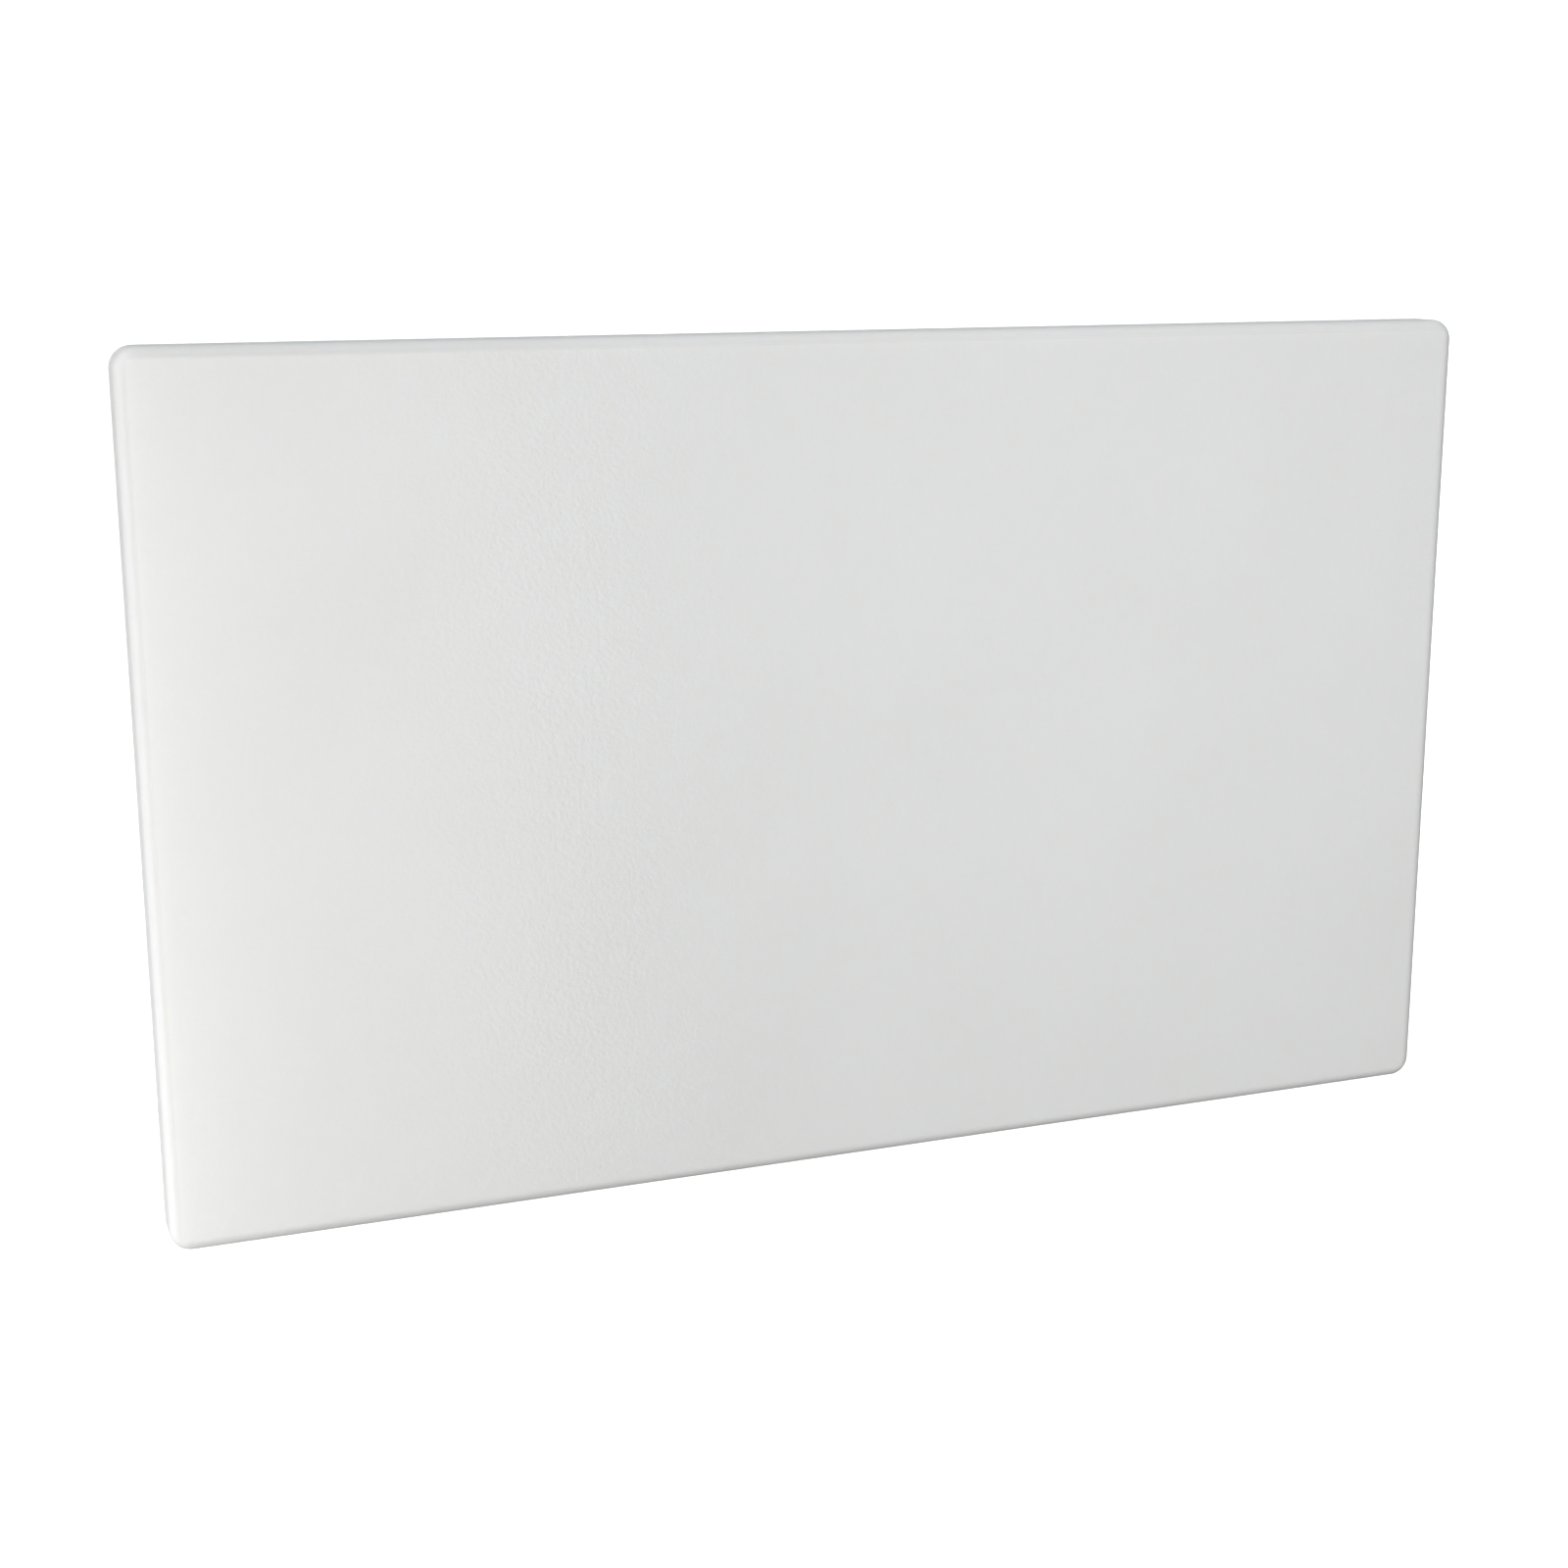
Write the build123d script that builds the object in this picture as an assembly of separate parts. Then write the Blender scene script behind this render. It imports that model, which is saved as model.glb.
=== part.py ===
"""Commercial cutting board: one plain rectangular slab of white high-density polyethylene.

It is a reversible gastronorm 1/1 board with no groove, handle, hole or feet. The slab is
trimmed on a router, which rounds the four corners in plan, and a round-over cutter takes
the sharp arris off both faces all the way round.

Row frame, millimetres: the board lies flat, as it is used. X runs along its length, Y
across its width and Z up through its thickness. The origin is the centre of its underside.
"""

from build123d import *
import os

# Driving dimensions
LENGTH = 530.0  # along X, gastronorm 1/1
WIDTH = 325.0  # along Y, gastronorm 1/1
THICKNESS = 20.0  # along Z
CORNER_RADIUS = 8.0  # of the four corners, seen from above
ARRIS_RADIUS = 4.0  # of the round-over along the rim of each face


def slab():
    """The blank as it leaves the router: the board's outline through its full thickness."""
    outline = RectangleRounded(LENGTH, WIDTH, CORNER_RADIUS)
    return extrude(outline, amount=THICKNESS)


def round_over(blank):
    """Rounds the rim of the cutting face and of the underside, corners included."""
    faces = blank.faces().sort_by(Axis.Z)
    underside, cutting_face = faces[0], faces[-1]
    return fillet(underside.edges() + cutting_face.edges(), ARRIS_RADIUS)


def board():
    """The finished board, one solid."""
    return round_over(slab())


os.makedirs("parts", exist_ok=True)
export_step(board(), "parts/board.step")
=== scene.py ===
"""Looks of a plain white polyethylene cutting board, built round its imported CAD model.

Lengths are in metres, in the CAD's frame: the board lies flat on Z = 0 with its length along X.
"""

from math import cos, pi, radians, sin

import bmesh
import bpy
from mathutils import Matrix, Vector, noise


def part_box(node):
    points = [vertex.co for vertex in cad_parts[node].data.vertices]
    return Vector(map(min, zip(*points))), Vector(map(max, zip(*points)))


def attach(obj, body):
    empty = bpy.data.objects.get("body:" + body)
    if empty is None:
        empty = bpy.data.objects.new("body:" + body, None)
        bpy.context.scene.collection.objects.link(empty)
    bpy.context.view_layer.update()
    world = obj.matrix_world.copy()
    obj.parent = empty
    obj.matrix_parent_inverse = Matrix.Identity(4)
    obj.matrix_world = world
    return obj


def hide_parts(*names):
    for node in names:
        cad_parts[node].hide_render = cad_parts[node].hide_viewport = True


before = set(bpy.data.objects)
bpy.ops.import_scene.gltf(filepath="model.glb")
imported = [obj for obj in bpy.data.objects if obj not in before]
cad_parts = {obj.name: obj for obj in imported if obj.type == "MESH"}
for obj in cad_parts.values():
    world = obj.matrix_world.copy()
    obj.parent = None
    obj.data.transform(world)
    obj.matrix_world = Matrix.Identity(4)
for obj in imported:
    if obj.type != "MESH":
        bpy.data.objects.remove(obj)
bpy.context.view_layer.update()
LOW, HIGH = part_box("board")
LENGTH, WIDTH, THICKNESS = HIGH - LOW
MM = 0.001

# The board's rounding, the same as the CAD's
CORNER_RADIUS = 8 * MM
ARRIS_RADIUS = 4 * MM

# The mesh: the cells of its faces, and how many strips each stretch of the rim is cut into
CELL = 3.5 * MM
CORNER_STEPS = 12
ARRIS_STEPS = 10
WALL_STEPS = 4
SHELF_STEPS = 2
WELD_DISTANCE = 0.001 * MM

# Sheet polyethylene is never quite flat: shallow dips, fading out towards the rim
DIP_DEPTH = 0.10 * MM
DIP_SPACING = 90 * MM
DIP_FADE = 40 * MM
CUTTING_FACE_SEED = 3.1
UNDERSIDE_SEED = 8.7

# The skin of the sheet. A scale is how many patches of a noise there are to the metre, and
# nearly all of a noise lies between NOISE_LOW and NOISE_HIGH
NOISE_LOW, NOISE_HIGH = 0.3, 0.7
MILKY_DARK = (0.818, 0.820, 0.806, 1)
MILKY_LIGHT = (0.832, 0.832, 0.824, 1)
MOTTLE_SCALE = 14.0
HAZE_LOW, HAZE_HIGH = 0.13, 0.18
HAZE_SCALE = 35.0
GRAIN_SCALE = 600.0
GRAIN_RELIEF = 0.14 * MM

# Where the cutter has been it is duller and rougher, and painted shade makes its colour a little darker
RIM_SHADE_TINT = 0.92
CUT_DULLNESS = 0.2
CUT_RELIEF = 0.16 * MM

# The camera looks at the cutting face as if the board stood on its front edge, from the left
# and from a little above
LENS_MM = 55.0
SENSOR_MM = 36.0
CAMERA_YAW = radians(20.43)
CAMERA_PITCH = radians(13.24)
CAMERA_ROLL = radians(-0.20)
CAMERA_DISTANCE = 0.915
AIM = Vector((-27.1 * MM, -6.8 * MM, THICKNESS))

# The stage lies a hair under the board, so that no two surfaces share a plane
FLOOR_HALF = 30.0
FLOOR_DEPTH = 0.2 * MM
SHADE_DEPTH = 0.3 * MM
SHADE_MARGIN = 2.5 * MM

# Tints of light, and how strong the world is from all round and as the camera sees it
WARM = (1.0, 0.95, 0.86)
COOL = (0.98, 1.0, 1.03)
WORLD_LIGHT = 0.1
WORLD_SEEN = 1.1


def link(thing):
    """Puts an object in the scene."""
    bpy.context.scene.collection.objects.link(thing)
    return thing


# ------------------------------------------------------------------------- camera

def add_camera():
    """A camera that looks straight down swings out to the left, then tips up over the board."""
    swing = Matrix.Rotation(-CAMERA_YAW, 4, "Y") @ Matrix.Rotation(-CAMERA_PITCH, 4, "X")
    axes = swing @ Matrix.Rotation(CAMERA_ROLL, 4, "Z")
    backward = axes.col[2].to_3d()
    data = bpy.data.cameras.new("camera")
    data.lens = LENS_MM
    data.sensor_width = SENSOR_MM
    data.clip_start, data.clip_end = 0.01, 100.0
    camera = link(bpy.data.objects.new("camera", data))
    camera.matrix_world = Matrix.Translation(AIM + backward * CAMERA_DISTANCE) @ axes
    bpy.context.scene.camera = camera


# ------------------------------------------------------------------------- board mesh

def spaced(low, high):
    """Evenly spaced places from low to high, about a cell apart."""
    count = round((high - low) / CELL)
    return [low + (high - low) * i / count for i in range(count + 1)]


# The core is the rectangle through the centres of the four plan corners.
CORE_X = spaced(LOW.x + CORNER_RADIUS, HIGH.x - CORNER_RADIUS)
CORE_Y = spaced(LOW.y + CORNER_RADIUS, HIGH.y - CORNER_RADIUS)


def rim_stations():
    """(point of the core, outward direction) all the way round, anticlockwise from the front left."""
    left, right, front, back = CORE_X[0], CORE_X[-1], CORE_Y[0], CORE_Y[-1]
    sides = [
        ([(x, front) for x in CORE_X], -pi / 2),
        ([(right, y) for y in CORE_Y], 0.0),
        ([(x, back) for x in reversed(CORE_X)], pi / 2),
        ([(left, y) for y in reversed(CORE_Y)], pi),
    ]
    stations = []
    for points, facing in sides:
        stations += [(point, facing) for point in points]
        turns = [facing + pi / 2 * i / CORNER_STEPS for i in range(1, CORNER_STEPS)]
        stations += [(points[-1], turn) for turn in turns]
    return stations


def rim_profile():
    """(distance out from the core, height) over the rim, from the cutting face to the underside."""
    flat = CORNER_RADIUS - ARRIS_RADIUS
    shelf = [flat * i / SHELF_STEPS for i in range(SHELF_STEPS)]
    arcs = [pi / 2 * i / ARRIS_STEPS for i in range(ARRIS_STEPS + 1)]
    round_over = [(flat + ARRIS_RADIUS * sin(a), THICKNESS - ARRIS_RADIUS * (1 - cos(a))) for a in arcs]
    wall_top, wall_bottom = THICKNESS - ARRIS_RADIUS, ARRIS_RADIUS
    wall = [
        (CORNER_RADIUS, wall_top + (wall_bottom - wall_top) * i / WALL_STEPS)
        for i in range(1, WALL_STEPS)
    ]
    upper = [(out, THICKNESS) for out in shelf] + round_over
    lower = [(out, THICKNESS - height) for out, height in reversed(upper)]
    return upper + wall + lower


def add_rim(bm):
    """The band from one face's core, out over the rim and back to the other face's core."""
    profile = rim_profile()
    rings = []
    for (x, y), facing in rim_stations():
        ring = [
            bm.verts.new((x + out * cos(facing), y + out * sin(facing), height))
            for out, height in profile
        ]
        rings.append(ring)
    for here, there in zip(rings, rings[1:] + rings[:1]):
        for i in range(len(profile) - 1):
            bm.faces.new((here[i], here[i + 1], there[i + 1], there[i]))


def add_core(bm, height, upward):
    """The grid of square cells inside the rim, on one face."""
    grid = [[bm.verts.new((x, y, height)) for x in CORE_X] for y in CORE_Y]
    for near, far in zip(grid, grid[1:]):
        for i in range(len(CORE_X) - 1):
            corners = (near[i], near[i + 1], far[i + 1], far[i])
            bm.faces.new(corners if upward else corners[::-1])


def dip(x, y, seed):
    """How far a face lies inside its true plane at a point."""
    inset = min(x - LOW.x, HIGH.x - x, y - LOW.y, HIGH.y - y) - CORNER_RADIUS
    if inset <= 0:
        return 0.0
    fade = min(1.0, inset / DIP_FADE)
    wave = noise.noise(Vector((x / DIP_SPACING, y / DIP_SPACING, seed)))
    return DIP_DEPTH * (0.5 + 0.5 * wave) * fade * fade * (3 - 2 * fade)


def add_dips(bm):
    """Moves the points of both faces into the board, and no other point."""
    for vert in bm.verts:
        x, y, z = vert.co
        if z == THICKNESS:
            vert.co.z -= dip(x, y, CUTTING_FACE_SEED)
        elif z == 0.0:
            vert.co.z += dip(x, y, UNDERSIDE_SEED)


def add_board(material):
    """The whole board, one closed mesh in place of the CAD's."""
    bm = bmesh.new()
    add_rim(bm)
    add_core(bm, THICKNESS, upward=True)
    add_core(bm, 0.0, upward=False)
    bmesh.ops.remove_doubles(bm, verts=bm.verts, dist=WELD_DISTANCE)
    bmesh.ops.dissolve_degenerate(bm, edges=bm.edges, dist=WELD_DISTANCE)
    add_dips(bm)
    bmesh.ops.recalc_face_normals(bm, faces=bm.faces)
    mesh = bpy.data.meshes.new("board_slab")
    bm.to_mesh(mesh)
    bm.free()
    mesh.shade_smooth()
    mesh.materials.append(material)
    slab = link(bpy.data.objects.new("board_slab", mesh))
    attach(slab, "root")
    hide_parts("board")


# ------------------------------------------------------------------------- shader nodes

class Graph:
    """Builds the nodes of a material or a world with few words."""

    def __init__(self, owner, shader):
        owner.use_nodes = True
        self.tree = owner.node_tree
        self.shader = self.tree.nodes[shader]

    def add(self, kind, inputs=(), **settings):
        """A node, its settings made, with each (socket, value or other node's output) put in."""
        node = self.tree.nodes.new("ShaderNode" + kind)
        for name, value in settings.items():
            setattr(node, name, value)
        for socket, value in dict(inputs).items():
            self.put(node, socket, value)
        return node

    def put(self, node, socket, value):
        """A socket's value, or the other node's output that it is linked to."""
        if isinstance(value, bpy.types.NodeSocket):
            self.tree.links.new(value, node.inputs[socket])
        else:
            node.inputs[socket].default_value = value

    def shade(self, values):
        """The shader's own sockets, by name."""
        for socket, value in values.items():
            self.put(self.shader, socket, value)

    def math(self, operation, a, b=0.0, c=0.0):
        return self.add("Math", {0: a, 1: b, 2: c}, operation=operation).outputs[0]

    def between(self, value, low, high, new_low, new_high):
        """value moved from one range to another."""
        sockets = {"From Min": low, "From Max": high, "To Min": new_low, "To Max": new_high}
        return self.add("MapRange", {"Value": value, **sockets}).outputs["Result"]

    def noise(self, place, scale, detail=2.0):
        """Soft random patches, scale of them to the metre."""
        sockets = {"Vector": place, "Scale": scale, "Detail": detail}
        return self.add("TexNoise", sockets).outputs["Fac"]

    def scaled(self, vector, factor):
        return self.add("VectorMath", {0: vector, "Scale": factor}, operation="SCALE").outputs[0]

    def stretched(self, vector, factors):
        return self.add("VectorMath", {0: vector, 1: factors}, operation="MULTIPLY").outputs[0]


# ------------------------------------------------------------------------- board material

def machined(g, place):
    """1 on the rounded rim and the side walls, where the cutter has been and painted shade darkens the
    colour, and 0 on the faces.
    """
    rim_side, face_side = ARRIS_RADIUS - 0.6 * MM, ARRIS_RADIUS + 0.4 * MM
    xyz = g.add("SeparateXYZ", {"Vector": place}).outputs
    gap_x = g.math("SUBTRACT", LENGTH / 2, g.math("ABSOLUTE", xyz["X"]))
    gap_y = g.math("SUBTRACT", WIDTH / 2, g.math("ABSOLUTE", xyz["Y"]))
    gap = g.math("MINIMUM", gap_x, gap_y)
    return g.between(gap, rim_side, face_side, 1.0, 0.0)


def milky(g, place, cut):
    """The faint mottle of milky white sheet, made a little darker on the rim by painted shade."""
    ramp = g.add("ValToRGB", {"Fac": g.noise(place, MOTTLE_SCALE, detail=3.0)})
    dark, light = ramp.color_ramp.elements
    dark.position, dark.color = NOISE_LOW, MILKY_DARK
    light.position, light.color = NOISE_HIGH, MILKY_LIGHT
    # painted shade: the colour is made a little darker on the rounded rim and the walls
    return g.scaled(ramp.outputs["Color"], g.between(cut, 0, 1, 1.0, RIM_SHADE_TINT))


def satin(g, place, cut):
    """Roughness: a satin skin of uneven haze, duller where it is cut."""
    patches = g.noise(place, HAZE_SCALE, detail=4.0)
    haze = g.between(patches, NOISE_LOW, NOISE_HIGH, HAZE_LOW, HAZE_HIGH)
    return g.math("MULTIPLY_ADD", cut, CUT_DULLNESS, haze)


def grained(g, place, cut):
    """Normals of the grain, which is drawn out through the thickness.

    So the same grain is pebbles on the faces and the cutter's marks on the walls.
    """
    grain = g.noise(g.stretched(place, (1.0, 1.0, 0.04)), GRAIN_SCALE)
    relief = g.between(cut, 0, 1, GRAIN_RELIEF, CUT_RELIEF)
    bump = g.add("Bump", {"Height": grain, "Strength": 1.0, "Distance": relief})
    return bump.outputs["Normal"]


def polyethylene():
    """Milky white sheet with a satin skin and a duller machined rim, with painted shade on the rim."""
    material = bpy.data.materials.new("white_polyethylene")
    g = Graph(material, "Principled BSDF")
    place = g.add("TexCoord").outputs["Object"]
    cut = machined(g, place)
    g.shade({
        "Base Color": milky(g, place, cut),
        "Roughness": satin(g, place, cut),
        "Normal": grained(g, place, cut),
        "IOR": 1.54,
        "Subsurface Weight": 0.75,
        "Subsurface Radius": (1.0, 0.95, 0.85),
        "Subsurface Scale": 4.5 * MM,
    })
    return material


# ------------------------------------------------------------------------- stage

def add_floor():
    """A wide white floor that sends the board no light and stops none."""
    half = FLOOR_HALF
    corners = [(-half, -half), (half, -half), (half, half), (-half, half)]
    mesh = bpy.data.meshes.new("floor")
    mesh.from_pydata([(x, y, -FLOOR_DEPTH) for x, y in corners], [], [range(len(corners))])
    material = bpy.data.materials.new("pale_floor")
    g = Graph(material, "Principled BSDF")
    g.shade({"Base Color": (0.9, 0.9, 0.9, 1), "Roughness": 0.6, "Specular IOR Level": 0.1})
    mesh.materials.append(material)
    floor = link(bpy.data.objects.new("floor", mesh))
    floor.visible_diffuse = False
    floor.visible_glossy = False
    floor.visible_shadow = False
    return floor


def add_contact_shade():
    """A plate just under the floor, a little wider than the board, that stops the light from below.

    Without it that light would reach the board's lower rim right down to where it meets the floor.
    """
    reach = CORNER_RADIUS + SHADE_MARGIN
    outline = [(x + reach * cos(a), y + reach * sin(a), -SHADE_DEPTH) for (x, y), a in rim_stations()]
    mesh = bpy.data.meshes.new("contact_shade")
    mesh.from_pydata(outline, [], [range(len(outline))])
    link(bpy.data.objects.new("contact_shade", mesh))


# ------------------------------------------------------------------------- light

def add_sun(name, towards, angle, strength):
    """A distant light. towards is the way from the board to it, and angle is how wide it looks.

    No surface mirrors it, because it would show as a hard white patch.
    """
    data = bpy.data.lights.new(name, "SUN")
    data.energy = strength
    data.angle = angle
    sun = link(bpy.data.objects.new(name, data))
    sun.rotation_euler = Vector(towards).to_track_quat("Z", "Y").to_euler()
    sun.visible_glossy = False
    return sun


def add_lamp(name, place, target, size, strength, tint=(1, 1, 1), shiny=False):
    """A rectangular soft light. strength is the brightness of its surface.

    Glossy surfaces mirror it only if it is shiny.
    """
    data = bpy.data.lights.new(name, "AREA")
    data.shape = "RECTANGLE"
    data.size, data.size_y = size
    data.energy = strength * size[0] * size[1] * pi
    data.color = tint
    lamp = link(bpy.data.objects.new(name, data))
    lamp.location = place
    lamp.rotation_euler = (Vector(target) - Vector(place)).to_track_quat("-Z", "Y").to_euler()
    lamp.visible_camera = False
    lamp.visible_glossy = shiny


def add_world():
    """Soft light from all round, and more of it from three sides. The camera sees plain white."""
    sides = [
        ((0, 1, 0), 0.44),  # the back
        ((-1, 0, 0), 0.3),  # the left
        ((0, 0, -1), 0.3),  # below
    ]
    world = bpy.data.worlds.new("studio")
    bpy.context.scene.world = world
    g = Graph(world, "Background")
    way = g.add("TexCoord").outputs["Generated"]
    light = WORLD_LIGHT
    for side, strength in sides:
        facing = g.add("VectorMath", {0: way, 1: side}, operation="DOT_PRODUCT").outputs["Value"]
        light = g.math("MULTIPLY_ADD", g.math("MAXIMUM", facing, 0.0), strength, light)
    seen = g.add("LightPath").outputs["Is Camera Ray"]
    g.shade({"Color": (*COOL, 1), "Strength": g.between(seen, 0, 1, light, WORLD_SEEN)})


def add_floor_light(floor):
    """A broad light that only the floor receives, so that it comes out white."""
    sun = add_sun("floor_light", towards=(0, 0, 1), angle=radians(120), strength=3.5)
    receivers = bpy.data.collections.new("floor_only")
    receivers.objects.link(floor)
    sun.light_linking.receiver_collection = receivers


def add_suns():
    """One from the left and the back, and one from below for the right and front walls.

    The lower one stands in for the floor, which sends the board no light.
    """
    add_sun("key", towards=(-1.73, 0.84, 1.0), angle=radians(25), strength=0.85)
    add_sun("bounce", towards=(0.45, -0.45, -0.77), angle=radians(30), strength=3.6)


def add_overhead_lamps():
    """A softbox that the left of the cutting face mirrors, and a cooler lamp over the back right."""
    add_lamp(
        "softbox",
        place=(-0.04, -0.375, 1.6),
        target=(-0.04, -0.375, 0.0),
        size=(0.7, 1.25),
        strength=1.385,
        tint=WARM,
        shiny=True,
    )
    add_lamp(
        "overhead",
        place=(0.1, 0.2, 0.8),
        target=(0.05, 0.1, 0.0),
        size=(0.6, 0.3),
        strength=5.25,
        tint=COOL,
    )


def add_edge_lamps():
    """Two small lamps beside the left wall, which brighten it and the face next to it."""
    add_lamp(
        "edge_strip",
        place=(-0.32, 0.0, 0.06),
        target=(-0.262, 0.0, 0.018),
        size=(0.4, 0.03),
        strength=1.67,
    )
    add_lamp(
        "edge_light",
        place=(-0.45, -0.28, 0.12),
        target=(-0.26, -0.1, 0.01),
        size=(0.2, 0.1),
        strength=4.0,
    )


# ------------------------------------------------------------------------- the scene

add_camera()
add_board(polyethylene())
floor = add_floor()
add_contact_shade()
add_world()
add_floor_light(floor)
add_suns()
add_overhead_lamps()
add_edge_lamps()
bpy.context.scene.view_settings.view_transform = "Standard"
